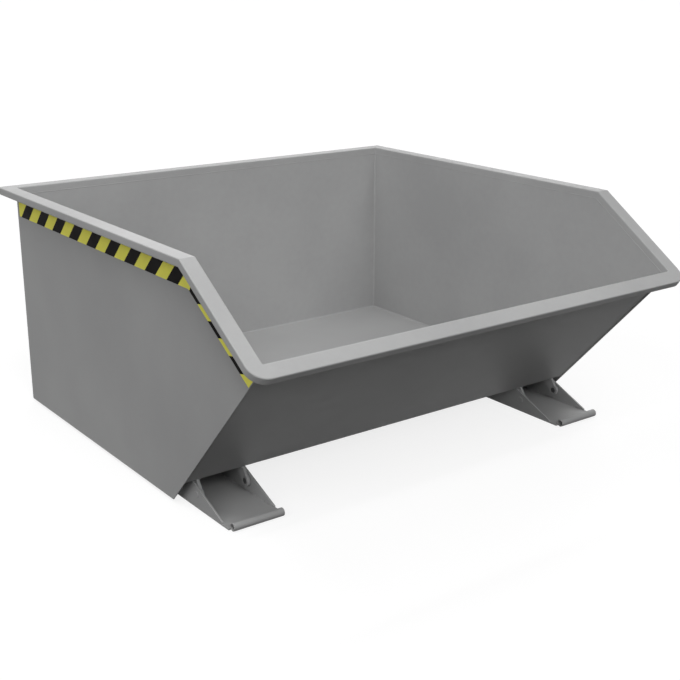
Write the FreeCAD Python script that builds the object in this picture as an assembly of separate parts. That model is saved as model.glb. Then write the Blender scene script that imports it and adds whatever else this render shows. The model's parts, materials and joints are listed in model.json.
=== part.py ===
import FreeCAD, Part
import math
import os
from FreeCAD import Vector

# Tipping skip: a sheet-steel body hinged at the front of a low base made of two fork pockets.
# Lengths are in millimetres and angles in degrees. +Z is up, the pouring lip faces -Y, left is -X.
# The origin is on the ground, under the middle of the overall box.
# A depth is measured forwards from the back wall's outer face.

# Skip body
body_width = 1260.0         # over the outer faces of the side walls
rim_top = 626.0             # ground to the top of the level rim
skirt_gap = 7.0             # ground to the side walls' lower edges
floor_top = 71.0            # ground to the floor inside
bottom_length = 839.0       # depth of the side walls' lower front corners
shoulder_depth = 982.0      # depth where the level rim turns down
lip_depth = 1245.0          # depth where the side walls' front edges reach the rim's top plane
lip_height = 452.0          # ground to that same point
sheet = 3.0                 # thickness of walls, floor and chute
chute_recess = 3.0          # chute plate behind the side walls' front edges

# Rim tube, standing on the sheet edges and flush with them inside
rim_width = 40.0
rim_height = 20.0
rim_wall = 2.0
rim_corner = 3.0            # outer corner radius of the section
bend_inside = 3.0           # inner radius of the front corners
inner_corner_share = 0.4    # inner corner radius as a share of the outer one

# Fork pockets
pocket_inset = 102.0        # from a side wall's outer face to the pocket's centre line
pocket_width = 146.0        # over the cheek plates
pocket_plate = 5.0          # thickness of sole and cheek plates
cover_plate = 4.0           # thickness of the pocket's roof
cover_gap = 16.0            # between the roof's front end and the hinge lugs
seat_gap = 0.3              # between the pockets and the resting floor
cheek_turn_gap = 20.0       # from the chute's foot back to where the cheek top turns down
cheek_run = 142.0           # sloping stretch of the cheek top
cheek_end = 3.0             # height left at the cheek's front end
toe_length = 37.0           # from the cheek's front end to the nose tube's centre
nose_diameter = 20.0
nose_wall = 3.0

# Cross tubes of the base
cross_width = 60.0
cross_height = 40.0
cross_wall = 3.0
cross_ground_gap = 14.0
middle_cross_depth = 640.0

# Hinge
hinge_lead = 9.0            # hinge axis in front of the chute's foot
hinge_height = 34.0
pin_diameter = 16.0
pin_end = 1.5               # pin standing out of its cheek
running_clearance = 0.06    # radial, between a pin and what turns on it
lug_thickness = 8.0
lug_radius = 15.0
lug_length = 50.0           # weld length along the floor
lug_side_gap = 1.0          # between a lug and its cheek

# Ribs under the floor
rib_count = 3
rib_spacing = 230.0
rib_thickness = 6.0
rib_height = 35.0
rib_end_gap = 25.0          # between a rib and the cross tubes

# Hazard tape on the side walls
tape_width = 50.0
tape_thickness = 0.6
tape_rim_gap = 8.0          # below the level rim
tape_slope_gap = 12.0       # below the sloping rim
tape_back_gap = 14.0        # from the back edge of the side wall
tape_front_gap = 2.0        # from the front edge of the side wall

# Latch behind the back wall
hook_wall_gap = 10.0        # back wall to hook
hook_thickness = 10.0
hook_side_gap = 0.5         # hook to bracket
hook_eye_radius = 20.0
arm_width = 28.0
finger_width = 18.0
finger_gap = 1.0            # finger to keeper when closed
finger_past = 5.0           # finger beyond the keeper's far side
closed_gap = 0.5            # arm to keeper when closed
latch_swing = 30.0          # from open to closed
latch_pivot_rise = 26.0     # pivot above the rear cross tube
latch_pin_diameter = 16.0
latch_pin_head_diameter = 26.0
latch_pin_head = 8.0
latch_pin_end = 5.0         # pin in front of the hook
clip_diameter = 28.0
clip_thickness = 2.0
clip_groove = 1.2           # groove depth in the pin
clip_play = 0.3             # clip to hook
clip_mouth = 9.0            # opening of the clip
keeper_diameter = 20.0
keeper_reach = 110.0        # pivot to keeper
keeper_lean = 20.0          # keeper's direction from the vertical through the pivot
keeper_end = 4.0            # keeper behind the hook
bracket_width = 88.0
bracket_rise = 34.0         # bracket above the pivot
bracket_thickness = 8.0
bracket_corner = 14.0
stop_diameter = 14.0
stop_along = 34.0           # stop stud from the pivot, along the open arm
grip_length = 106.0
grip_gap = 11.0             # finger to grip
grip_side = 4.0             # grip wall at the arm's edges
grip_face = 3.0             # grip wall at the arm's faces
grip_end = 6.0              # grip past the arm's end
grip_round = 4.0

half_width = body_width / 2
pocket_spacing = body_width - 2 * pocket_inset
rim_overhang = rim_width - sheet
outer_x = half_width + rim_overhang
bend_radius = rim_width + bend_inside
floor_bottom = floor_top - sheet
level = (1, 0)
shoulder = (shoulder_depth, rim_top)
slope_angle = math.atan2(rim_top - lip_height, lip_depth - shoulder_depth)
slope = (math.cos(slope_angle), -math.sin(slope_angle))
chute_angle = math.atan2(lip_height - skirt_gap, lip_depth - bottom_length)
front = (math.cos(chute_angle), math.sin(chute_angle))
cut_reach = 2 * (body_width + lip_depth)


def meet(first, first_along, second, second_along):
    """Point where two lines of the side view cross."""
    turn = first_along[0] * second_along[1] - first_along[1] * second_along[0]
    gap = (second[0] - first[0], second[1] - first[1])
    step = (gap[0] * second_along[1] - gap[1] * second_along[0]) / turn
    return (first[0] + first_along[0] * step, first[1] + first_along[1] * step)


def beside(point, along, distance):
    """Point moved square to a line of the side view, upwards on the rim and inwards on the chute."""
    return (point[0] - along[1] * distance, point[1] + along[0] * distance)


# Side view of the body: lines under the rim, along the front edges and on both faces of the chute
under_level = (0, rim_top - rim_height)
under_slope = beside(shoulder, slope, -rim_height)
front_foot = (bottom_length, skirt_gap)
chute_outer = beside(front_foot, front, chute_recess)
chute_inner = beside(front_foot, front, chute_recess + sheet)
chute_foot = meet(chute_outer, front, (0, floor_bottom), level)[0]

# The lip tube stands on the chute's upper edge, flush with it inside
chute_top = meet(chute_inner, front, under_slope, slope)
lip_edge = math.hypot(chute_top[0] - under_slope[0], chute_top[1] - under_slope[1]) + rim_width

# The pockets and the rear cross tube end flush with the latch bracket's front face
tail = hook_wall_gap + hook_thickness + hook_side_gap
rear_reach = max(rim_overhang, tail + bracket_thickness + latch_pin_head)
front_reach = (shoulder_depth + slope[0] * (lip_edge - rim_corner) + slope[1] * rim_corner + rim_corner)
back_y = (front_reach - rear_reach) / 2


def spot(x, depth, z):
    return Vector(x, back_y - depth, z)


def plate(outline, x_from, x_to):
    """Flat plate with its outline in the side view."""
    corners = [spot(x_from, depth, z) for depth, z in outline + outline[:1]]
    return Part.Face(Part.makePolygon(corners)).extrude(Vector(x_to - x_from, 0, 0))


def block(x_from, x_to, depth_from, depth_to, z_from, z_to):
    outline = [(depth_from, z_from), (depth_to, z_from), (depth_to, z_to), (depth_from, z_to)]
    return plate(outline, x_from, x_to)


def rod_x(radius, x_from, x_to, depth, z):
    """Round bar along X."""
    low = min(x_from, x_to)
    return Part.makeCylinder(radius, abs(x_to - x_from), spot(low, depth, z), Vector(1, 0, 0))


def rod_y(radius, behind_from, behind_to, x, z):
    """Round bar square to the back wall, between two distances behind it."""
    start = spot(x, -behind_from, z)
    return Part.makeCylinder(radius, behind_to - behind_from, start, Vector(0, 1, 0))


def rounded_face(corner, across, up, width, height, radius):
    """Rectangle with round corners, from one corner along two directions."""
    def at(a, b):
        return corner + across * a + up * b
    inset = radius * (1 - math.cos(math.pi / 4))
    right = width - radius
    high = height - radius
    edges = [
        Part.LineSegment(at(radius, 0), at(right, 0)),
        Part.Arc(at(right, 0), at(width - inset, inset), at(width, radius)),
        Part.LineSegment(at(width, radius), at(width, high)),
        Part.Arc(at(width, high), at(width - inset, height - inset), at(right, height)),
        Part.LineSegment(at(right, height), at(radius, height)),
        Part.Arc(at(radius, height), at(inset, height - inset), at(0, high)),
        Part.LineSegment(at(0, high), at(0, radius)),
        Part.Arc(at(0, radius), at(inset, inset), at(radius, 0)),
    ]
    return Part.Face(Part.Wire([edge.toShape() for edge in edges]))


def rim_faces(corner, across, up):
    """Outer and inner outline of the rim tube's section."""
    inner_corner = corner + across * rim_wall + up * rim_wall
    inner_width = rim_width - 2 * rim_wall
    inner_height = rim_height - 2 * rim_wall
    outer = rounded_face(corner, across, up, rim_width, rim_height, rim_corner)
    inner = rounded_face(inner_corner, across, up, inner_width, inner_height, rim_corner * inner_corner_share)
    return outer, inner


def rim_run(corner, across, up, along):
    outer, inner = rim_faces(corner, across, up)
    return outer.extrude(along).cut(inner.extrude(along))


def trim(shape, point, away):
    """Cuts off what lies beyond a plane."""
    return shape.cut(Part.makeCylinder(cut_reach, cut_reach, point, away))


def slope_spot(x, along, above):
    """Point on the sloping rim, along it from the shoulder and above its top plane."""
    depth, z = beside((shoulder[0] + slope[0] * along, shoulder[1] + slope[1] * along), slope, above)
    return spot(x, depth, z)


pieces = {}

wall_outline = [
    (0, skirt_gap),
    front_foot,
    meet(front_foot, front, under_slope, slope),
    meet(under_level, level, under_slope, slope),
    under_level,
]
chute_outline = [
    (chute_foot, floor_bottom),
    meet(chute_outer, front, under_slope, slope),
    chute_top,
    meet(chute_inner, front, (0, floor_bottom), level),
]
floor_outline = [
    (sheet, floor_bottom),
    meet(chute_inner, front, (0, floor_bottom), level),
    meet(chute_inner, front, (0, floor_top), level),
    (sheet, floor_top),
]
inside = half_width - sheet
pieces["back_wall"] = block(-inside, inside, 0, sheet, floor_bottom, under_level[1])
pieces["floor_plate"] = plate(floor_outline, -inside, inside)
pieces["chute_plate"] = plate(chute_outline, -inside, inside)

# Tape follows the rim along the level edge and down the slope
tape_top = beside(under_level, level, -tape_rim_gap)
tape_low = beside(under_level, level, -tape_rim_gap - tape_width)
tape_slope_top = beside(under_slope, slope, -tape_slope_gap)
tape_slope_low = beside(under_slope, slope, -tape_slope_gap - tape_width)
tape_front = beside(front_foot, front, tape_front_gap)
tape_outline = [
    (tape_back_gap, tape_low[1]),
    meet(tape_low, level, tape_slope_low, slope),
    meet(tape_slope_low, slope, tape_front, front),
    meet(tape_slope_top, slope, tape_front, front),
    meet(tape_top, level, tape_slope_top, slope),
    (tape_back_gap, tape_top[1]),
]

up = Vector(0, 0, 1)
slope_along = Vector(0, -slope[0], slope[1])
slope_up = Vector(0, slope[1], slope[0])
mitre_away = slope_along + Vector(0, -1, 0)
mitre_spot = spot(0, *shoulder)
bend_start = lip_edge - bend_radius
bend_x = outer_x - bend_radius

for side, way in (("left", -1), ("right", 1)):
    inward = Vector(-way, 0, 0)
    pieces[side + "_side_wall"] = plate(wall_outline, way * inside, way * half_width)
    pieces[side + "_hazard_tape"] = plate(tape_outline, way * half_width, way * (half_width + tape_thickness))

    # Level rim, mitred to the back rim and to the slope
    corner_spot = spot(way * outer_x, -rim_overhang, rim_top - rim_height)
    level_rim = rim_run(corner_spot, inward, up, Vector(0, -(rim_overhang + lip_depth), 0))
    level_rim = trim(level_rim, corner_spot, Vector(-way, 1, 0))
    pieces[side + "_rim"] = trim(level_rim, mitre_spot, mitre_away)

    # Sloping rim, then a quarter bend round the front corner
    run_start = slope_spot(way * outer_x, -rim_height, -rim_height)
    slope_rim = rim_run(run_start, inward, slope_up, slope_along * (bend_start + rim_height))
    pieces[side + "_slope_rim"] = trim(slope_rim, mitre_spot, mitre_away * -1)
    bend_outer, bend_inner = rim_faces(slope_spot(way * outer_x, bend_start, -rim_height), inward, slope_up)
    bend_centre = slope_spot(way * bend_x, bend_start, 0)
    bend = [face.revolve(bend_centre, slope_up, -way * 90) for face in (bend_outer, bend_inner)]
    pieces[side + "_corner_bend"] = bend[0].cut(bend[1])

back_corner = spot(-outer_x, -rim_overhang, rim_top - rim_height)
back_rim = rim_run(back_corner, Vector(0, -1, 0), up, Vector(2 * outer_x, 0, 0))
back_rim = trim(back_rim, back_corner, Vector(-1, -1, 0))
pieces["back_rim"] = trim(back_rim, spot(outer_x, -rim_overhang, rim_top - rim_height), Vector(1, -1, 0))
lip_corner = slope_spot(-bend_x, lip_edge, -rim_height)
pieces["lip_rim"] = rim_run(lip_corner, slope_along * -1, slope_up, Vector(2 * bend_x, 0, 0))

# Base: two fork pockets with open, tapering front ends
cheek_top = floor_bottom - seat_gap
cheek_start = chute_foot - cheek_turn_gap
cheek_front = cheek_start + cheek_run
nose_radius = nose_diameter / 2
nose_depth = cheek_front + toe_length
sole_front = nose_depth - math.sqrt(nose_radius ** 2 - (nose_radius - pocket_plate) ** 2)
hinge_depth = chute_foot + hinge_lead
lug_back = chute_foot - lug_length
pin_radius = pin_diameter / 2

cheek_outline = [
    (-tail, pocket_plate),
    (cheek_front, pocket_plate),
    (cheek_front, pocket_plate + cheek_end),
    (cheek_start, cheek_top),
    (-tail, cheek_top),
]
lug_outline = [
    (lug_back, floor_bottom),
    (hinge_depth - lug_radius, hinge_height),
    (hinge_depth + lug_radius, hinge_height),
    (chute_foot, floor_bottom),
]


def cheek(x_from, x_to):
    hole = rod_x(pin_radius, x_from, x_to, hinge_depth, hinge_height)
    return plate(cheek_outline, x_from, x_to).cut(hole)


def lug(x_from, x_to):
    eye = rod_x(lug_radius, x_from, x_to, hinge_depth, hinge_height)
    hole = rod_x(pin_radius + running_clearance, x_from, x_to, hinge_depth, hinge_height)
    return plate(lug_outline, x_from, x_to).fuse(eye).removeSplitter().cut(hole)


for side, way in (("left", -1), ("right", 1)):
    centre = way * pocket_spacing / 2
    outer_face = pocket_width / 2
    inner_face = outer_face - pocket_plate
    lug_outer = inner_face - lug_side_gap
    lug_inner = lug_outer - lug_thickness
    pin_out = outer_face + pin_end
    pieces[side + "_sole_plate"] = block(centre - outer_face, centre + outer_face, -tail, sole_front, 0, pocket_plate)
    pieces[side + "_outer_cheek"] = cheek(centre + way * inner_face, centre + way * outer_face)
    pieces[side + "_inner_cheek"] = cheek(centre - way * inner_face, centre - way * outer_face)
    pieces[side + "_pocket_cover"] = block(
        centre - inner_face, centre + inner_face, -tail, lug_back - cover_gap, cheek_top - cover_plate, cheek_top)
    nose = rod_x(nose_radius, centre - inner_face, centre + inner_face, nose_depth, nose_radius)
    bore = rod_x(nose_radius - nose_wall, centre - inner_face, centre + inner_face, nose_depth, nose_radius)
    pieces[side + "_nose_tube"] = nose.cut(bore)
    pieces[side + "_hinge_lugs"] = Part.makeCompound(
        [lug(centre + turn * lug_inner, centre + turn * lug_outer) for turn in (-1, 1)])
    pieces[side + "_hinge_pins"] = Part.makeCompound(
        [rod_x(pin_radius, centre + turn * lug_inner, centre + turn * pin_out, hinge_depth, hinge_height)
         for turn in (-1, 1)])


def cross_tube(depth_from):
    depth_to = depth_from + cross_width
    span = (pocket_spacing - pocket_width) / 2
    low = cross_ground_gap
    high = cross_ground_gap + cross_height
    tube = block(-span, span, depth_from, depth_to, low, high)
    core = block(-span, span, depth_from + cross_wall, depth_to - cross_wall, low + cross_wall, high - cross_wall)
    return tube.cut(core)


middle_cross_start = middle_cross_depth - cross_width / 2
pieces["rear_cross_tube"] = cross_tube(-tail)
pieces["middle_cross_tube"] = cross_tube(middle_cross_start)

# Ribs run lengthways under the floor, between the cross tubes
ribs = []
for number in range(rib_count):
    middle = (number - (rib_count - 1) / 2) * rib_spacing
    ribs.append(block(middle - rib_thickness / 2, middle + rib_thickness / 2, cross_width - tail + rib_end_gap,
                      middle_cross_start - rib_end_gap, floor_bottom - rib_height, floor_bottom))
pieces["floor_ribs"] = Part.makeCompound(ribs)

# Latch: the hook swings beside the back wall, about a pin square to it, and rests open
pivot_z = cross_ground_gap + cross_height + latch_pivot_rise
pivot = spot(0, -hook_wall_gap, pivot_z)
keeper_radius = keeper_diameter / 2
keeper_offset = arm_width / 2 + closed_gap + keeper_radius
keeper_turn = math.degrees(math.asin(keeper_offset / keeper_reach))
open_turn = keeper_lean - keeper_turn - latch_swing
finger_turn = keeper_turn + math.degrees(math.asin((keeper_radius + finger_past) / keeper_reach))
finger_low = keeper_reach + keeper_radius + finger_gap
finger_top = finger_low + finger_width
grip_low = finger_top + grip_gap
arm_length = grip_low + grip_length - grip_end
back = Vector(0, 1, 0)


def set_open(shape):
    """Turns a latch piece, made upright on the pivot, to its open place."""
    shape.rotate(Vector(0, 0, 0), back, open_turn)
    shape.translate(pivot)
    return shape


arm = Part.makeBox(arm_width, hook_thickness, arm_length, Vector(-arm_width / 2, 0, 0))
eye = Part.makeCylinder(hook_eye_radius, hook_thickness, Vector(0, 0, 0), back)
eye_hole = Part.makeCylinder(latch_pin_diameter / 2 + running_clearance, hook_thickness, Vector(0, 0, 0), back)
finger_corners = [
    Vector(0, 0, finger_low),
    Vector(0, hook_thickness, finger_low),
    Vector(0, hook_thickness, finger_top),
    Vector(0, 0, finger_top),
    Vector(0, 0, finger_low),
]
finger = Part.Face(Part.makePolygon(finger_corners)).revolve(Vector(0, 0, 0), back, finger_turn)
hook = arm.fuse([eye, finger]).removeSplitter().cut(eye_hole)

grip_width = arm_width + 2 * grip_side
grip_depth = hook_thickness + 2 * grip_face
grip_start = Vector(-grip_width / 2, -grip_face, grip_low)
grip = Part.makeBox(grip_width, grip_depth, grip_length, grip_start)
grip_edges = [edge for edge in grip.Edges if abs(edge.tangentAt(edge.FirstParameter).z) > math.cos(math.pi / 4)]
grip = grip.makeFillet(min(grip_round, grip_depth / 3), grip_edges).cut(arm)
pieces["latch_hook"] = set_open(hook)
pieces["latch_grip"] = set_open(grip)

keeper_angle = math.radians(keeper_lean)
keeper_x = keeper_reach * math.sin(keeper_angle)
keeper_z = pivot_z + keeper_reach * math.cos(keeper_angle)
hook_back = hook_wall_gap + hook_thickness
pieces["latch_keeper"] = rod_y(keeper_radius, 0, hook_back + keeper_end, keeper_x, keeper_z)

bracket_back = tail + bracket_thickness
bracket = block(-bracket_width / 2, bracket_width / 2, -bracket_back, -tail, cross_ground_gap, pivot_z + bracket_rise)
bracket_edges = [edge for edge in bracket.Edges
                 if abs(edge.tangentAt(edge.FirstParameter).y) > math.cos(math.pi / 4)
                 and edge.CenterOfMass.z > pivot_z]
bracket = bracket.makeFillet(bracket_corner, bracket_edges)
latch_pin_radius = latch_pin_diameter / 2
pieces["latch_bracket"] = bracket.cut(rod_y(latch_pin_radius, tail, bracket_back, 0, pivot_z))

# Pivot pin headed behind the bracket, with a clip in a groove in front of the hook
clip_back = hook_wall_gap - clip_play
clip_front = clip_back - clip_thickness
groove_radius = latch_pin_radius - clip_groove
clip_core = rod_y(groove_radius, clip_front, clip_back, 0, pivot_z)
groove = rod_y(latch_pin_radius, clip_front, clip_back, 0, pivot_z).cut(clip_core)
shank = rod_y(latch_pin_radius, hook_wall_gap - latch_pin_end, bracket_back, 0, pivot_z)
head = rod_y(latch_pin_head_diameter / 2, bracket_back, bracket_back + latch_pin_head, 0, pivot_z)
pieces["latch_pivot_pin"] = shank.cut(groove).fuse(head)
clip_mouth_cut = block(-clip_mouth / 2, clip_mouth / 2, -clip_back, -clip_front, pivot_z - clip_diameter, pivot_z)
clip = rod_y(clip_diameter / 2, clip_front, clip_back, 0, pivot_z).cut(clip_core)
pieces["latch_pin_clip"] = clip.cut(clip_mouth_cut)

# Stop stud on the bracket holds the open arm
open_angle = math.radians(open_turn)
stop_across = arm_width / 2 + closed_gap + stop_diameter / 2
stop_x = stop_along * math.sin(open_angle) - stop_across * math.cos(open_angle)
stop_z = pivot_z + stop_along * math.cos(open_angle) + stop_across * math.sin(open_angle)
pieces["latch_stop"] = rod_y(stop_diameter / 2, hook_wall_gap, tail, stop_x, stop_z)

os.makedirs("parts", exist_ok=True)
for name, shape in pieces.items():
    shape.exportStep("parts/" + name + ".step")
    print(name, len(shape.Solids), "solids", round(shape.Volume), "mm3", "valid", shape.isValid())
box = Part.makeCompound(list(pieces.values())).BoundBox
print("box", [round(value, 2) for value in (box.XMin, box.XMax, box.YMin, box.YMax, box.ZMin, box.ZMax)])
print("hinge axis y", round(back_y - hinge_depth, 3), "z", round(hinge_height, 3), "back wall y", round(back_y, 3))
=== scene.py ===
import bmesh
import bpy
import json
import math
from mathutils import Matrix, Vector

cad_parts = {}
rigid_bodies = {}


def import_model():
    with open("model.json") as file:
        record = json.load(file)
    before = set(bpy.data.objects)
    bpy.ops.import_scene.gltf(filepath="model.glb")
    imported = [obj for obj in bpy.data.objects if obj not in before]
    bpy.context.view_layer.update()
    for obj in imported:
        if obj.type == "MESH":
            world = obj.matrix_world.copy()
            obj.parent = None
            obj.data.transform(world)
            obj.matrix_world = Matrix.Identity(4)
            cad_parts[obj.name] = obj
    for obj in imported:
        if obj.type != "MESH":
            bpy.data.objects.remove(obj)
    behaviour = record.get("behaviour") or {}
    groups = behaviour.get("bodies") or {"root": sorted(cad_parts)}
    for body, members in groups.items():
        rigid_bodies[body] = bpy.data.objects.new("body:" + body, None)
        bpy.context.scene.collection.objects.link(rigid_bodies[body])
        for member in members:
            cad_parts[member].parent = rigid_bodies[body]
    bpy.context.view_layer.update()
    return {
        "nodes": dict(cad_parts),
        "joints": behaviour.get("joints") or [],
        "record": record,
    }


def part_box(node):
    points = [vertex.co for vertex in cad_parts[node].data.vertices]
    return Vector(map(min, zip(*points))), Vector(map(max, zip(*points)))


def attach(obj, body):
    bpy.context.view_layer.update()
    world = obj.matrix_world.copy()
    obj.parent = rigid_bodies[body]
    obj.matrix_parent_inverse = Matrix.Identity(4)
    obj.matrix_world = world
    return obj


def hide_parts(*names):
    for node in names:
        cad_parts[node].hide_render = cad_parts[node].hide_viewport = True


# Tipping skip in grey paint: sheet body, fork pockets, hand latch. Metres, in the frame of the solids.

for leftover in list(bpy.data.objects):
    bpy.data.objects.remove(leftover)
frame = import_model()
nodes = frame["nodes"]
record = frame["record"]
slotOf = {part["node"]: part["material_slot"] for part in record["subparts"]}
bodyOf = {node: body for body, members in record["behaviour"]["bodies"].items() for node in members}
jointOf = {joint["name"]: joint for joint in frame["joints"]}
mm = 0.001
print("frame loaded:", len(nodes), "nodes")


# Places read from the solids

def sideCorners(node):  # distinct corners of a flat plate as (y, z)
    return sorted({(round(v.co.y, 6), round(v.co.z, 6)) for v in nodes[node].data.vertices})


wallCorners = sideCorners("left_side_wall")
wallTop = max(z for y, z in wallCorners)
frontTop = min(wallCorners)
shoulder = min(c for c in wallCorners if c[1] == wallTop)
backOuter = max(y for y, z in wallCorners)
slopeWay = (Vector(frontTop) - Vector(shoulder)).normalized()  # down the sloping rim
slopeOut = Vector((slopeWay.y, -slopeWay.x))  # square to the slope, upwards
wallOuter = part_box("right_side_wall")[1].x
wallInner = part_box("right_side_wall")[0].x
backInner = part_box("back_wall")[0].y
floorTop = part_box("floor_plate")[1].z
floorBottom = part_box("floor_plate")[0].z
floorFront = min(y for y, z in sideCorners("floor_plate") if z == round(floorTop, 6))
chuteCorners = sorted(sideCorners("chute_plate"), key=lambda corner: corner[1])  # lowest first
chuteFootOuter = min(chuteCorners[:2])
chuteTopOuter = min(chuteCorners[2:])
chuteTopInner = max(chuteCorners[2:])


# Materials

def put(tree, kind, values=None, **settings):  # one node with its settings and socket values
    node = tree.nodes.new(kind)
    for name, value in settings.items():
        setattr(node, name, value)
    for name, value in (values or {}).items():
        node.inputs[name].default_value = value
    return node


def newMaterial(name):
    material = bpy.data.materials.new(name)
    material.use_nodes = True
    tree = material.node_tree
    tree.nodes.clear()
    shader = put(tree, "ShaderNodeBsdfPrincipled")
    output = put(tree, "ShaderNodeOutputMaterial")
    tree.links.new(shader.outputs["BSDF"], output.inputs["Surface"])
    place = put(tree, "ShaderNodeTexCoord").outputs["Object"]
    return material, tree, shader, place


noiseMiddle = 0.5  # what a noise swings about


def noise(tree, place, scale, detail=2.0, roughness=0.5):
    node = put(tree, "ShaderNodeTexNoise", {"Scale": scale, "Detail": detail, "Roughness": roughness})
    tree.links.new(place, node.inputs["Vector"])
    return node.outputs["Fac"]


def spread(tree, value, low, high, fromLow=0.3, fromHigh=0.7):  # noise stretched to a range
    node = put(tree, "ShaderNodeMapRange",
               {"From Min": fromLow, "From Max": fromHigh, "To Min": low, "To Max": high})
    tree.links.new(value, node.inputs["Value"])
    return node.outputs["Result"]


def workOut(tree, operation, first, second):  # sockets or plain numbers
    node = put(tree, "ShaderNodeMath", operation=operation)
    for place, value in enumerate((first, second)):
        if hasattr(value, "is_output"):
            tree.links.new(value, node.inputs[place])
        else:
            node.inputs[place].default_value = value
    return node.outputs["Value"]


def blendColours(tree, factor, first, second):
    node = put(tree, "ShaderNodeMix", data_type="RGBA")
    for name, value in (("A", first), ("B", second)):
        socket = next(s for s in node.inputs if s.name == name and s.type == "RGBA")
        if hasattr(value, "is_output"):
            tree.links.new(value, socket)
        else:
            socket.default_value = (*value, 1.0)
    tree.links.new(factor, node.inputs["Factor"])
    return next(s for s in node.outputs if s.type == "RGBA")


def bump(tree, height, distance, strength, under=None):
    node = put(tree, "ShaderNodeBump", {"Distance": distance, "Strength": strength})
    tree.links.new(height, node.inputs["Height"])
    if under is not None:
        tree.links.new(under, node.inputs["Normal"])
    return node.outputs["Normal"]


paint = {
    "dark": (0.302, 0.303, 0.304), "light": (0.362, 0.363, 0.363),
    "cloudScale": 1.9, "cloudDetail": 3.0,
    "mottleScale": 46.0, "mottleDetail": 4.0, "mottleGrain": 0.6, "mottle": 0.22,
    "roughLow": 0.46, "roughHigh": 0.58, "specular": 0.11,
    "waveScale": 3.2, "waveDetail": 1.0, "waveDepth": 2.2 * mm, "waveStrength": 0.10,
    "peelScale": 620.0, "peelDetail": 1.0, "peelDepth": 0.12 * mm, "peelStrength": 0.30,
    "chipScale": 130.0, "chipDetail": 3.0, "chipColour": (0.47, 0.47, 0.47),
    "chipFrom": 0.60, "chipTo": 0.70, "chipMost": 0.8,
}


def makePaint(name, worn):
    material, tree, shader, place = newMaterial(name)
    cloud = noise(tree, place, paint["cloudScale"], paint["cloudDetail"])
    mottle = noise(tree, place, paint["mottleScale"], paint["mottleDetail"], paint["mottleGrain"])
    swing = workOut(tree, "MULTIPLY", workOut(tree, "SUBTRACT", mottle, noiseMiddle), paint["mottle"])
    tone = workOut(tree, "ADD", cloud, swing)
    colour = blendColours(tree, spread(tree, tone, 0.0, 1.0), paint["dark"], paint["light"])
    if worn:  # paint rubbed thin along a cut edge
        specks = noise(tree, place, paint["chipScale"], paint["chipDetail"])
        chips = spread(tree, specks, 0.0, paint["chipMost"], paint["chipFrom"], paint["chipTo"])
        colour = blendColours(tree, chips, colour, paint["chipColour"])
    tree.links.new(colour, shader.inputs["Base Color"])
    tree.links.new(spread(tree, mottle, paint["roughLow"], paint["roughHigh"]), shader.inputs["Roughness"])
    shader.inputs["Specular IOR Level"].default_value = paint["specular"]
    sheetWave = noise(tree, place, paint["waveScale"], paint["waveDetail"])
    orangePeel = noise(tree, place, paint["peelScale"], paint["peelDetail"])
    wavy = bump(tree, sheetWave, paint["waveDepth"], paint["waveStrength"])
    peeled = bump(tree, orangePeel, paint["peelDepth"], paint["peelStrength"], wavy)
    tree.links.new(peeled, shader.inputs["Normal"])
    return material


steel = {
    "dark": (0.15, 0.15, 0.155), "light": (0.28, 0.275, 0.27),
    "stainScale": 60.0, "stainDetail": 5.0, "stainGrain": 0.65, "roughLow": 0.34, "roughHigh": 0.55,
    "grainScale": 900.0, "grainDetail": 2.0, "grainDepth": 0.06 * mm, "grainStrength": 0.35,
}


def makeSteel(name):
    material, tree, shader, place = newMaterial(name)
    stain = noise(tree, place, steel["stainScale"], steel["stainDetail"], steel["stainGrain"])
    grain = noise(tree, place, steel["grainScale"], steel["grainDetail"])
    colour = blendColours(tree, spread(tree, stain, 0.0, 1.0), steel["dark"], steel["light"])
    tree.links.new(colour, shader.inputs["Base Color"])
    tree.links.new(spread(tree, stain, steel["roughHigh"], steel["roughLow"]), shader.inputs["Roughness"])
    shader.inputs["Metallic"].default_value = 1.0
    tree.links.new(bump(tree, grain, steel["grainDepth"], steel["grainStrength"]), shader.inputs["Normal"])
    return material


plastic = {
    "dark": (0.012, 0.012, 0.013), "light": (0.030, 0.030, 0.031),
    "cloudScale": 210.0, "cloudDetail": 3.0, "roughLow": 0.42, "roughHigh": 0.60,
    "grainScale": 1400.0, "grainDetail": 1.0, "grainDepth": 0.08 * mm, "grainStrength": 0.4,
}


def makePlastic(name):
    material, tree, shader, place = newMaterial(name)
    cloud = noise(tree, place, plastic["cloudScale"], plastic["cloudDetail"])
    grain = noise(tree, place, plastic["grainScale"], plastic["grainDetail"])
    colour = blendColours(tree, spread(tree, cloud, 0.0, 1.0), plastic["dark"], plastic["light"])
    rough = spread(tree, cloud, plastic["roughLow"], plastic["roughHigh"])
    tree.links.new(colour, shader.inputs["Base Color"])
    tree.links.new(rough, shader.inputs["Roughness"])
    grained = bump(tree, grain, plastic["grainDepth"], plastic["grainStrength"])
    tree.links.new(grained, shader.inputs["Normal"])
    return material


tape = {
    "pitch": 103.4 * mm, "slopePitch": 100 * mm, "lean": 1.0,  # stripe repeat on each run, forward lean
    "levelPhase": 172.5 * mm, "levelHeight": 564 * mm,  # a black stripe's middle, from back and ground
    "slopePhase": 39 * mm, "slopeBelow": 54 * mm,  # and on the slope, from the shoulder, below the edge
    "blackShare": 0.5, "turnsAdded": 100,  # black part of a repeat, turns to keep the count above nought
    "yellow": (0.97, 0.93, 0.15), "faded": (0.91, 0.86, 0.16), "black": (0.006, 0.005, 0.005),
    "fadeScale": 26.0, "fadeDetail": 4.0, "roughLow": 0.42, "roughHigh": 0.56, "specular": 0.015,
    "filmScale": 300.0, "filmDetail": 2.0, "filmDepth": 0.1 * mm, "filmStrength": 0.15,
}


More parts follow.
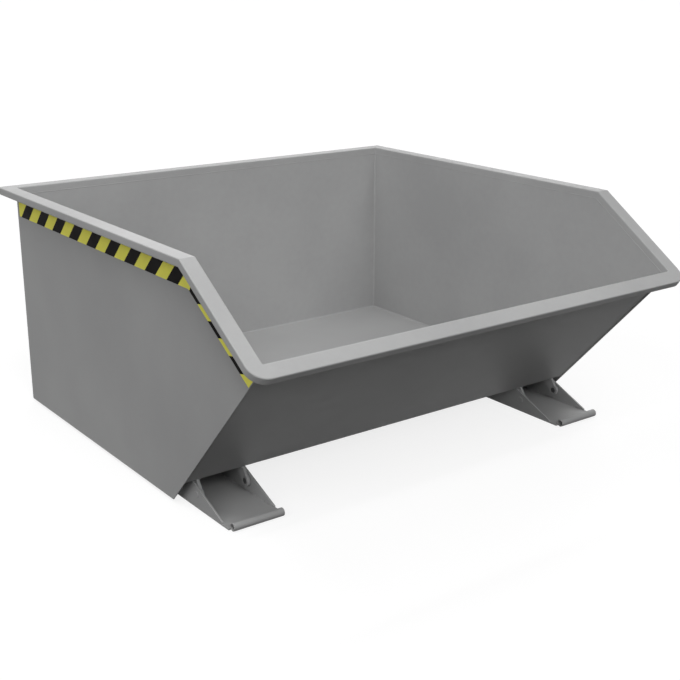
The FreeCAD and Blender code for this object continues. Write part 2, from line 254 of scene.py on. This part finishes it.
def lineValue(tree, place, along, start):  # how far a point lies along a direction of the side view
    node = put(tree, "ShaderNodeVectorMath", operation="DOT_PRODUCT")
    tree.links.new(place, node.inputs[0])
    node.inputs[1].default_value = (0.0, along[0], along[1])
    return workOut(tree, "SUBTRACT", node.outputs["Value"], along[0] * start[0] + along[1] * start[1])


def tapeStripes(tree, place):  # one where the film is black
    levelStart = (backOuter - tape["levelPhase"], tape["levelHeight"])
    slopeStart = Vector(shoulder) + slopeWay * tape["slopePhase"] - slopeOut * tape["slopeBelow"]
    level = lineValue(tree, place, (-1.0, -tape["lean"]), levelStart)
    slope = lineValue(tree, place, slopeWay - slopeOut * tape["lean"], slopeStart)
    corner = lineValue(tree, place, (slopeWay + Vector((-1.0, 0.0))).normalized(), shoulder)
    onSlope = workOut(tree, "GREATER_THAN", corner, 0.0)
    onLevel = workOut(tree, "SUBTRACT", 1.0, onSlope)
    slopeTurns = workOut(tree, "MULTIPLY", workOut(tree, "DIVIDE", slope, tape["slopePitch"]), onSlope)
    levelTurns = workOut(tree, "MULTIPLY", workOut(tree, "DIVIDE", level, tape["pitch"]), onLevel)
    shift = tape["turnsAdded"] + tape["blackShare"] / 2
    turns = workOut(tree, "ADD", workOut(tree, "ADD", slopeTurns, levelTurns), shift)
    return workOut(tree, "LESS_THAN", workOut(tree, "FRACT", turns, 0.0), tape["blackShare"])


def makeTape(name):
    material, tree, shader, place = newMaterial(name)
    fade = spread(tree, noise(tree, place, tape["fadeScale"], tape["fadeDetail"]), 0.0, 1.0)
    yellow = blendColours(tree, fade, tape["yellow"], tape["faded"])
    colour = blendColours(tree, tapeStripes(tree, place), yellow, tape["black"])
    rough = spread(tree, fade, tape["roughLow"], tape["roughHigh"], 0.0, 1.0)
    film = noise(tree, place, tape["filmScale"], tape["filmDetail"])
    tree.links.new(colour, shader.inputs["Base Color"])
    tree.links.new(rough, shader.inputs["Roughness"])
    shader.inputs["Specular IOR Level"].default_value = tape["specular"]
    tree.links.new(bump(tree, film, tape["filmDepth"], tape["filmStrength"]), shader.inputs["Normal"])
    return material


greyPaint = makePaint("greyPaint", False)
wornEdge = makePaint("wornPaintEdge", True)
darkSteel = makeSteel("darkSteel")
gripPlastic = makePlastic("gripPlastic")
hazardFilm = makeTape("hazardFilm")
finishes = {  # on the faces, on the broken edges
    "grey_paint": (greyPaint, wornEdge),
    "bare_steel": (darkSteel, darkSteel),
    "hazard_tape": (hazardFilm, hazardFilm),
    "grip_plastic": (gripPlastic, gripPlastic),
}
for node, thing in nodes.items():
    thing.data.materials.clear()
    thing.data.materials.append(finishes[slotOf[node]][0])
print("materials made:", len(bpy.data.materials))


# Plates and bars with their edges broken, as the paint lies on them

broken = {
    "merge": 0.001 * mm, "flat": math.radians(0.4), "sharp": math.radians(30), "segments": 2,
    "sheet": 0.9 * mm, "plate": 1.1 * mm, "tube": 1.4 * mm, "bar": 1.0 * mm,
}
edgeOf = {
    "sheet": ["back_wall", "floor_plate", "chute_plate", "left_side_wall", "right_side_wall"],
    "plate": ["floor_ribs", "latch_bracket", "latch_hook"]
    + [side + part for side in ("left", "right")
       for part in ("_sole_plate", "_outer_cheek", "_inner_cheek", "_pocket_cover", "_hinge_lugs")],
    "tube": ["rear_cross_tube", "middle_cross_tube"],
    "bar": ["latch_keeper", "latch_stop", "latch_pivot_pin", "left_nose_tube", "right_nose_tube",
            "left_hinge_pins", "right_hinge_pins"],
}


def plainMesh(thing):  # modifiers worked into the mesh
    graph = bpy.context.evaluated_depsgraph_get()
    mesh = bpy.data.meshes.new_from_object(thing.evaluated_get(graph))
    thing.modifiers.clear()
    thing.data = mesh


def brokenEdges(node, width):
    work = bmesh.new()
    work.from_mesh(nodes[node].data)
    bmesh.ops.remove_doubles(work, verts=work.verts[:], dist=broken["merge"])
    bmesh.ops.dissolve_limit(work, angle_limit=broken["flat"], verts=work.verts[:], edges=work.edges[:])
    mesh = bpy.data.meshes.new(node + "_finished")
    work.to_mesh(mesh)
    work.free()
    if mesh.attributes.get("custom_normal"):
        mesh.attributes.remove(mesh.attributes["custom_normal"])
    mesh.shade_smooth()
    mesh.materials.clear()
    for finish in finishes[slotOf[node]]:
        mesh.materials.append(finish)
    piece = bpy.data.objects.new(node + "_finished", mesh)
    bpy.context.scene.collection.objects.link(piece)
    edge = piece.modifiers.new("brokenEdge", "BEVEL")
    edge.width = width
    edge.segments = broken["segments"]
    edge.limit_method = "ANGLE"
    edge.angle_limit = broken["sharp"]
    edge.harden_normals = True
    edge.material = 1  # the edge's own finish
    bpy.context.view_layer.update()
    plainMesh(piece)
    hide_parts(node)
    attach(piece, bodyOf[node])


def paintPinEnds(side):  # outside the cheeks the welded pins are painted with the base
    mesh = bpy.data.objects[side + "_hinge_pins_finished"].data
    low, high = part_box(side + "_sole_plate")
    mesh.materials.append(greyPaint)
    for face in mesh.polygons:
        if not low.x < face.center.x < high.x:
            face.material_index = len(mesh.materials) - 1


for kind, members in edgeOf.items():
    for node in members:
        brokenEdges(node, broken[kind])
for side in ("left", "right"):
    paintPinEnds(side)
print("edges broken on", sum(len(members) for members in edgeOf.values()), "nodes")


# Weld seams: one bead along each run, made by geometry nodes

weld = {
    "ripplePitch": 4.2 * mm, "ringsPerRipple": 3, "rippleDepth": 0.22,
    "wander": 0.16, "wanderScale": 140.0, "sides": 8, "seed": 7, "endTrim": 0.4 * mm,
}
ground = {  # seams dressed with a disc and painted over
    "ripplePitch": 24 * mm, "ringsPerRipple": 2, "rippleDepth": 0.02,
    "wander": 0.08, "wanderScale": 30.0, "sides": 12, "seed": 11, "endTrim": 0.4 * mm,
}
wanderDetail = 2.0
ringPoints = 20  # round a pin or stud


def makeWeldTree():
    tree = bpy.data.node_groups.new("weldBead", "GeometryNodeTree")
    inputs = {
        "Path": "Geometry", "Ripple pitch": "Float", "Ripple depth": "Float", "Ring spacing": "Float",
        "Wander": "Float", "Wander scale": "Float", "Sides": "Int", "Seed": "Float", "Finish": "Material",
    }
    for name, kind in inputs.items():
        tree.interface.new_socket(name, in_out="INPUT", socket_type="NodeSocket" + kind)
    tree.interface.new_socket("Bead", in_out="OUTPUT", socket_type="NodeSocketGeometry")
    given = put(tree, "NodeGroupInput").outputs
    curve = put(tree, "GeometryNodeMeshToCurve")
    rings = put(tree, "GeometryNodeResampleCurve", mode="LENGTH")
    size = put(tree, "GeometryNodeInputNamedAttribute", {"Name": "beadSize"}, data_type="FLOAT")
    length = put(tree, "GeometryNodeSplineParameter").outputs["Length"]
    uneven = put(tree, "ShaderNodeTexNoise", {"Detail": wanderDetail}, noise_dimensions="4D")
    section = put(tree, "GeometryNodeCurvePrimitiveCircle", {"Radius": 1.0})
    sweep = put(tree, "GeometryNodeCurveToMesh", {"Fill Caps": True})
    smooth = put(tree, "GeometryNodeSetShadeSmooth")
    whole = put(tree, "GeometryNodeRealizeInstances")
    finish = put(tree, "GeometryNodeSetMaterial")
    done = put(tree, "NodeGroupOutput")
    link = tree.links.new
    link(given["Path"], curve.inputs["Mesh"])
    link(curve.outputs["Curve"], rings.inputs["Curve"])
    link(given["Ring spacing"], rings.inputs["Length"])
    ripple = workOut(tree, "FRACT", workOut(tree, "DIVIDE", length, given["Ripple pitch"]), 0.0)
    fall = workOut(tree, "SUBTRACT", 1.0, workOut(tree, "MULTIPLY", ripple, given["Ripple depth"]))
    link(given["Wander scale"], uneven.inputs["Scale"])
    link(given["Seed"], uneven.inputs["W"])
    swing = workOut(tree, "SUBTRACT", uneven.outputs["Fac"], noiseMiddle)
    drift = workOut(tree, "MULTIPLY", swing, given["Wander"])
    scale = workOut(tree, "MULTIPLY", workOut(tree, "ADD", fall, drift), size.outputs["Attribute"])
    link(given["Sides"], section.inputs["Resolution"])
    link(rings.outputs["Curve"], sweep.inputs["Curve"])
    link(section.outputs["Curve"], sweep.inputs["Profile Curve"])
    link(scale, sweep.inputs["Scale"])
    link(sweep.outputs["Mesh"], smooth.inputs["Geometry"])
    link(smooth.outputs["Geometry"], whole.inputs["Geometry"])
    link(whole.outputs["Geometry"], finish.inputs["Geometry"])
    link(given["Finish"], finish.inputs["Material"])
    link(finish.outputs["Geometry"], done.inputs["Bead"])
    return tree


weldTree = makeWeldTree()


def weldPath(name, runs, endTrim):  # runs: (points, bead radius), closed where the last point is the first
    points, edges, sizes = [], [], []
    for line, radius in runs:
        start = len(points)
        kept = [Vector(point) for point in line]
        closed = (kept[0] - kept[-1]).length < broken["merge"]
        if closed:
            kept.pop()
        else:  # beads that meet in a corner keep their ends apart
            kept[0] += (kept[1] - kept[0]).normalized() * endTrim
            kept[-1] += (kept[-2] - kept[-1]).normalized() * endTrim
        points += [tuple(point) for point in kept]
        sizes += [radius] * len(kept)
        edges += [(start + i, start + i + 1) for i in range(len(kept) - 1)]
        if closed:
            edges.append((start + len(kept) - 1, start))
    path = bpy.data.meshes.new(name)
    path.from_pydata(points, edges, [])
    path.attributes.new("beadSize", "FLOAT", "POINT").data.foreach_set("value", sizes)
    return path


def weldPiece(name, body, runs, bead):
    piece = bpy.data.objects.new(name, weldPath(name, runs, bead["endTrim"]))
    bpy.context.scene.collection.objects.link(piece)
    modifier = piece.modifiers.new("weldBead", "NODES")
    modifier.node_group = weldTree
    settings = {
        "Ripple pitch": bead["ripplePitch"], "Ripple depth": bead["rippleDepth"],
        "Ring spacing": bead["ripplePitch"] / bead["ringsPerRipple"],
        "Wander": bead["wander"], "Wander scale": bead["wanderScale"],
        "Sides": bead["sides"], "Seed": float(bead["seed"]), "Finish": greyPaint,
    }
    for item in weldTree.interface.items_tree:
        if item.name in settings:
            modifier[item.identifier] = settings[item.name]
    bpy.context.view_layer.update()
    plainMesh(piece)
    work = bmesh.new()
    work.from_mesh(piece.data)
    if work.calc_volume(signed=True) < 0:
        bmesh.ops.reverse_faces(work, faces=work.faces[:])
        work.to_mesh(piece.data)
    work.free()
    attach(piece, body)
    print(name, len(piece.data.polygons), "faces")


def stitches(start, end, sizes, row):  # short welds spaced evenly along a line
    count, length = sizes[row], sizes["stitchLength"]
    start, end = Vector(start), Vector(end)
    along = (end - start).normalized()
    step = (end - start) / count
    middles = [start + step * (i + 0.5) for i in range(count)]
    return [[middle - along * length / 2, middle + along * length / 2] for middle in middles]


def ring(centre, axis, radius):  # closed line round a level pin
    across = Vector((0, 0, 1))
    other = Vector(axis).cross(across)
    turn = [2 * math.pi * i / ringPoints for i in range(ringPoints + 1)]
    line = [Vector(centre) + across * radius * math.cos(a) + other * radius * math.sin(a) for a in turn]
    line[-1] = line[0].copy()
    return line


bodyWeld = {
    "inside": 3.6 * mm, "chute": 2.4 * mm, "lug": 3.2 * mm, "keeper": 2.4 * mm,
    "stitch": 3.2 * mm, "stitchLength": 45 * mm, "rimStitches": 6, "slopeStitches": 2,
    "backStitches": 8, "lipStitches": 9, "skirtStitches": 6, "ribStitches": 4,
}


def bodySeams():  # full welds inside the corners and along the chute's edges
    inside = bodyWeld["inside"]
    runs = []
    for y in (backInner, floorFront):
        runs.append(([(-wallInner, y, floorTop), (wallInner, y, floorTop)], inside))
    for inner in (-wallInner, wallInner):
        runs.append(([(inner, backInner, floorTop), (inner, floorFront, floorTop)], inside))
        runs.append(([(inner, backInner, floorTop), (inner, backInner, wallTop)], inside))
        runs.append(([(inner, floorFront, floorTop), (inner, *chuteTopInner)], inside))
        runs.append(([(inner, *chuteFootOuter), (inner, *chuteTopOuter)], bodyWeld["chute"]))
    return runs


def bodyStitches():  # short welds under the rim, along the skirts and the ribs
    short = []
    for way in (-1, 1):
        inner, outer = way * wallInner, way * wallOuter
        short += stitches((outer, backOuter, wallTop), (outer, *shoulder), bodyWeld, "rimStitches")
        short += stitches((outer, *shoulder), (outer, *frontTop), bodyWeld, "slopeStitches")
        skirtBack, skirtFront = (inner, backInner, floorBottom), (inner, *chuteFootOuter)
        short += stitches(skirtBack, skirtFront, bodyWeld, "skirtStitches")
    backLeft, backRight = (-wallOuter, backOuter, wallTop), (wallOuter, backOuter, wallTop)
    short += stitches(backLeft, backRight, bodyWeld, "backStitches")
    short += stitches((-wallInner, *chuteTopOuter), (wallInner, *chuteTopOuter), bodyWeld, "lipStitches")
    ribLow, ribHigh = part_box("floor_ribs")
    for x in sorted({round(v.co.x, 6) for v in nodes["floor_ribs"].data.vertices}):
        short += stitches((x, ribLow.y, floorBottom), (x, ribHigh.y, floorBottom), bodyWeld, "ribStitches")
    return [(line, bodyWeld["stitch"]) for line in short]


def lugAndKeeperRuns():
    runs = []
    for side in ("left", "right"):  # lugs are welded on the faces that look into the pocket
        lugs = nodes[side + "_hinge_lugs"].data.vertices
        faces = sorted({round(v.co.x, 6) for v in lugs})
        top = [v.co.y for v in lugs if abs(v.co.z - floorBottom) < broken["merge"]]
        for x in faces[1:3]:
            runs.append(([(x, min(top), floorBottom), (x, max(top), floorBottom)], bodyWeld["lug"]))
    low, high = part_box("latch_keeper")
    middle = (low + high) / 2
    keeperRing = ring((middle.x, backOuter, middle.z), (0, 1, 0), high.x - middle.x)
    runs.append((keeperRing, bodyWeld["keeper"]))
    return runs


rimSeam = {"radius": 2.2 * mm, "inset": 1.6 * mm}  # set into the sheet, so that it stands out little


def rimSeamRuns():
    radius, inset = rimSeam["radius"], rimSeam["inset"]
    back = (backInner + inset, wallTop)
    front = Vector(chuteTopInner) + slopeWay * inset
    runs = [([(-wallInner, y, z), (wallInner, y, z)], radius) for y, z in (back, front)]
    for x in (-wallInner - inset, wallInner + inset):
        runs.append(([(x, *back), (x, *shoulder), (x, *front)], radius))
    return runs


baseWeld = {
    "stitch": 2.8 * mm, "stitchLength": 45 * mm, "cheekStitches": 8,
    "cross": 3.2 * mm, "nose": 2.6 * mm, "pin": 1.8 * mm, "bracket": 3.0 * mm,
}


def pocketRuns(side):
    soleLow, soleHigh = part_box(side + "_sole_plate")
    coverLow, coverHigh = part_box(side + "_pocket_cover")
    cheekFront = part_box(side + "_outer_cheek")[0].y
    short = []
    for x in (coverLow.x, coverHigh.x):  # the cheeks' inner faces
        soleBack, soleFront = (x, soleHigh.y, soleHigh.z), (x, cheekFront, soleHigh.z)
        short += stitches(soleBack, soleFront, baseWeld, "cheekStitches")
        coverBack, coverFront = (x, coverHigh.y, coverLow.z), (x, coverLow.y, coverLow.z)
        short += stitches(coverBack, coverFront, baseWeld, "cheekStitches")
    runs = [(line, baseWeld["stitch"]) for line in short]
    nose = [(x, soleLow.y, soleHigh.z) for x in (coverLow.x, coverHigh.x)]
    runs.append((nose, baseWeld["nose"]))
    pinLow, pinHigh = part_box(side + "_hinge_pins")
    pinRadius = (pinHigh.z - pinLow.z) / 2
    middle = (pinLow + pinHigh) / 2
    for x in (soleLow.x, soleHigh.x):
        runs.append((ring((x, middle.y, middle.z), (1, 0, 0), pinRadius), baseWeld["pin"]))
    return runs


def crossRuns():
    runs = []
    for tube in ("rear_cross_tube", "middle_cross_tube"):
        low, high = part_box(tube)
        section = [(low.y, low.z), (high.y, low.z), (high.y, high.z), (low.y, high.z), (low.y, low.z)]
        for x in (low.x, high.x):
            runs.append(([(x, y, z) for y, z in section], baseWeld["cross"]))
    low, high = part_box("latch_bracket")
    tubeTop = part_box("rear_cross_tube")[1].z
    for x in (low.x, high.x):
        runs.append(([(x, low.y, low.z), (x, low.y, tubeTop)], baseWeld["bracket"]))
    return runs


weldPiece("bodyWelds", "skip", bodySeams() + bodyStitches() + lugAndKeeperRuns(), weld)
weldPiece("rimSeams", "skip", rimSeamRuns(), ground)
weldPiece("baseWelds", "base", pocketRuns("left") + pocketRuns("right") + crossRuns(), weld)
print("welds run")


# Dipped grip on the latch arm

grip = {
    "sides": 32, "squareness": 3.2, "bodySwell": 0.90, "bellySwell": 0.97,
    "collar": 9 * mm, "collarFull": 0.6, "collarSwell": 1.0,  # length, share of it at full swell
    "domeSteps": 6, "domeOpen": 0.6,  # part of a step that the dome stops short of a point
}


def gripStations(start, end, dome):  # places along the grip and the swell there
    body, collar = grip["bodySwell"], grip["collarSwell"]
    stations = [
        (start, body), (start, collar), (start + grip["collar"] * grip["collarFull"], collar),
        (start + grip["collar"], body), ((start + end) / 2, grip["bellySwell"]), (end - dome, body),
    ]
    for step in range(1, grip["domeSteps"] + 1):
        turn = math.pi / 2 * step / (grip["domeSteps"] + grip["domeOpen"])
        stations.append((end - dome + dome * math.sin(turn), body * math.cos(turn)))
    return stations


def makeGrip():
    pivot = Vector(jointOf["latch_swing"]["pos_m"])
    points = [v.co - pivot for v in nodes["latch_grip"].data.vertices]
    low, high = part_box("latch_grip")
    middle = (low + high) / 2 - pivot
    along = Vector((middle.x, 0, middle.z)).normalized()
    across = Vector((along.z, 0, -along.x))
    reach = [p.dot(along) for p in points]
    halfWide = max(p.dot(across) for p in points)
    halfDeep = (high.y - low.y) / 2
    work = bmesh.new()
    rings = []
    power = 2 / grip["squareness"]
    for reachAt, swell in gripStations(min(reach), max(reach), halfDeep):
        ringVerts = []
        for i in range(grip["sides"]):
            turn = 2 * math.pi * i / grip["sides"]
            c, s = math.cos(turn), math.sin(turn)
            a = math.copysign(abs(c) ** power, c) * halfWide * swell
            b = math.copysign(abs(s) ** power, s) * halfDeep * swell
            spot = pivot + along * reachAt + across * a
            ringVerts.append(work.verts.new((spot.x, (low.y + high.y) / 2 + b, spot.z)))
        rings.append(ringVerts)
    for first, second in zip(rings, rings[1:]):
        for i in range(grip["sides"]):
            j = (i + 1) % grip["sides"]
            work.faces.new((first[i], first[j], second[j], second[i]))
    work.faces.new(rings[0])
    work.faces.new(rings[-1])
    bmesh.ops.recalc_face_normals(work, faces=work.faces[:])
    mesh = bpy.data.meshes.new("latchGripDipped")
    work.to_mesh(mesh)
    work.free()
    mesh.shade_smooth()
    mesh.materials.append(gripPlastic)
    piece = bpy.data.objects.new("latchGripDipped", mesh)
    bpy.context.scene.collection.objects.link(piece)
    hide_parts("latch_grip")
    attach(piece, "latch")


makeGrip()
print("grip made")


# Stage: white floor that falls away in front of the feet, so that the tipped lip has room

stage = {
    "reach": 40.0, "drop": 1 * mm,
    "fallStart": 30 * mm, "fallLength": 0.26, "fallDepth": 0.16, "fallSteps": 24,
    "seenDiffuse": 0.20, "seenGlow": 0.82, "bounce": 0.05,  # as shown, and as it lights the skip
}
white = (1.0, 1.0, 1.0, 1.0)


def makeFloor():
    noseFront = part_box("left_nose_tube")[0].y
    fallFrom = noseFront - stage["fallStart"]
    profile = [(stage["reach"], 0.0)]
    for step in range(stage["fallSteps"] + 1):
        share = step / stage["fallSteps"]
        eased = share * share * (3 - 2 * share)  # level at both ends
        profile.append((fallFrom - stage["fallLength"] * share, -stage["fallDepth"] * eased))
    profile.append((-stage["reach"], -stage["fallDepth"]))
    points = [(x, y, z - stage["drop"]) for y, z in profile for x in (-stage["reach"], stage["reach"])]
    faces = [(2 * i, 2 * i + 2, 2 * i + 3, 2 * i + 1) for i in range(len(profile) - 1)]
    mesh = bpy.data.meshes.new("studioFloor")
    mesh.from_pydata(points, [], faces)
    mesh.shade_smooth()
    floor = bpy.data.objects.new("studioFloor", mesh)
    bpy.context.scene.collection.objects.link(floor)
    return floor


def seenFactor(tree):  # one for rays that show the background itself
    path = put(tree, "ShaderNodeLightPath").outputs
    shown = workOut(tree, "MAXIMUM", path["Is Camera Ray"], path["Is Glossy Ray"])
    return workOut(tree, "MAXIMUM", shown, path["Is Transmission Ray"])


def makeFloorWhite(floor):
    material = bpy.data.materials.new("floorWhite")
    material.use_nodes = True
    tree = material.node_tree
    tree.nodes.clear()
    lit = put(tree, "ShaderNodeBsdfDiffuse", {"Color": (stage["seenDiffuse"],) * 3 + (1.0,)})
    glow = put(tree, "ShaderNodeEmission", {"Strength": stage["seenGlow"]})
    both = put(tree, "ShaderNodeAddShader")
    dull = put(tree, "ShaderNodeBsdfDiffuse", {"Color": (stage["bounce"],) * 3 + (1.0,)})
    pick = put(tree, "ShaderNodeMixShader")
    output = put(tree, "ShaderNodeOutputMaterial")
    tree.links.new(lit.outputs["BSDF"], both.inputs[0])
    tree.links.new(glow.outputs["Emission"], both.inputs[1])
    tree.links.new(seenFactor(tree), pick.inputs["Fac"])
    tree.links.new(dull.outputs["BSDF"], pick.inputs[1])
    tree.links.new(both.outputs["Shader"], pick.inputs[2])
    tree.links.new(pick.outputs["Shader"], output.inputs["Surface"])
    floor.data.materials.append(material)


makeFloorWhite(makeFloor())
print("floor laid")


# Light: weak sky, four broad lamps, and a round soft box over the left rim

light = {
    "zenith": 0.35, "gather": 2.0,  # sky strength overhead, how closely it gathers there
    "lamps": [  # strength, where it comes from, spread
        ("leftLight", 1.20, (-0.88, -0.20, 0.40), math.radians(50)),
        ("frontLight", 1.72, (-0.10, -0.68, 0.72), math.radians(50)),
        ("backLight", 0.95, (0.55, 0.45, 0.70), math.radians(40)),
        ("rearLight", 0.55, (0.45, 0.85, 0.24), math.radians(50)),
    ],
    "boxWatts": 13.2, "boxWidth": 0.9,
    "boxPlace": (-1.0, -0.5, 2.0), "boxAim": (-0.5, -0.2, 0.5),
}


def makeSky():
    world = bpy.data.worlds.new("studioWhite")
    bpy.context.scene.world = world
    world.use_nodes = True
    tree = world.node_tree
    tree.nodes.clear()
    place = put(tree, "ShaderNodeTexCoord").outputs["Generated"]
    axes = put(tree, "ShaderNodeSeparateXYZ")
    tree.links.new(place, axes.inputs["Vector"])
    height = workOut(tree, "POWER", workOut(tree, "MAXIMUM", axes.outputs["Z"], 0.0), light["gather"])
    strength = workOut(tree, "MULTIPLY", height, light["zenith"])
    soft = put(tree, "ShaderNodeBackground", {"Color": white})
    shown = put(tree, "ShaderNodeBackground", {"Color": white, "Strength": 1.0})
    pick = put(tree, "ShaderNodeMixShader")
    output = put(tree, "ShaderNodeOutputWorld")
    tree.links.new(strength, soft.inputs["Strength"])
    tree.links.new(seenFactor(tree), pick.inputs["Fac"])
    tree.links.new(soft.outputs["Background"], pick.inputs[1])
    tree.links.new(shown.outputs["Background"], pick.inputs[2])
    tree.links.new(pick.outputs["Shader"], output.inputs["Surface"])


def hang(data, comesFrom, place=(0, 0, 0)):  # a lamp that shines from that side
    lamp = bpy.data.objects.new(data.name, data)
    lamp.location = place
    lamp.rotation_euler = Vector(comesFrom).to_track_quat("Z", "Y").to_euler()
    bpy.context.scene.collection.objects.link(lamp)
    return lamp


def makeLamps():
    for name, strength, comesFrom, spreadAngle in light["lamps"]:
        data = bpy.data.lights.new(name, "SUN")
        data.energy = strength
        data.angle = spreadAngle
        hang(data, comesFrom)
    data = bpy.data.lights.new("softBox", "AREA")
    data.shape = "DISK"
    data.size = light["boxWidth"]
    data.energy = light["boxWatts"]
    place = Vector(light["boxPlace"])
    box = hang(data, place - Vector(light["boxAim"]), place)
    box.visible_camera = False


makeSky()
makeLamps()
print("lamps hung:", len(bpy.data.lights))

view = {
    "place": (-1.81229, -2.473705, 1.21589), "look": (0.56752, 0.76387, -0.30729),
    "roll": math.radians(0.152), "lens": 61.783, "sensor": 36.0,
}


def makeCamera():
    data = bpy.data.cameras.new("photoCamera")
    data.lens = view["lens"]
    data.sensor_width = view["sensor"]
    data.sensor_fit = "HORIZONTAL"
    camera = bpy.data.objects.new("photoCamera", data)
    look = Vector(view["look"]).normalized()
    right = look.cross(Vector((0, 0, 1))).normalized()
    up = right.cross(look)
    rolled = right * math.cos(view["roll"]) + up * math.sin(view["roll"])
    top = rolled.cross(look)
    turn = Matrix((rolled, top, -look)).transposed()
    camera.matrix_world = Matrix.Translation(view["place"]) @ turn.to_4x4()
    bpy.context.scene.collection.objects.link(camera)
    bpy.context.scene.camera = camera


makeCamera()
bpy.context.scene.view_settings.view_transform = "Standard"
print("stage set")
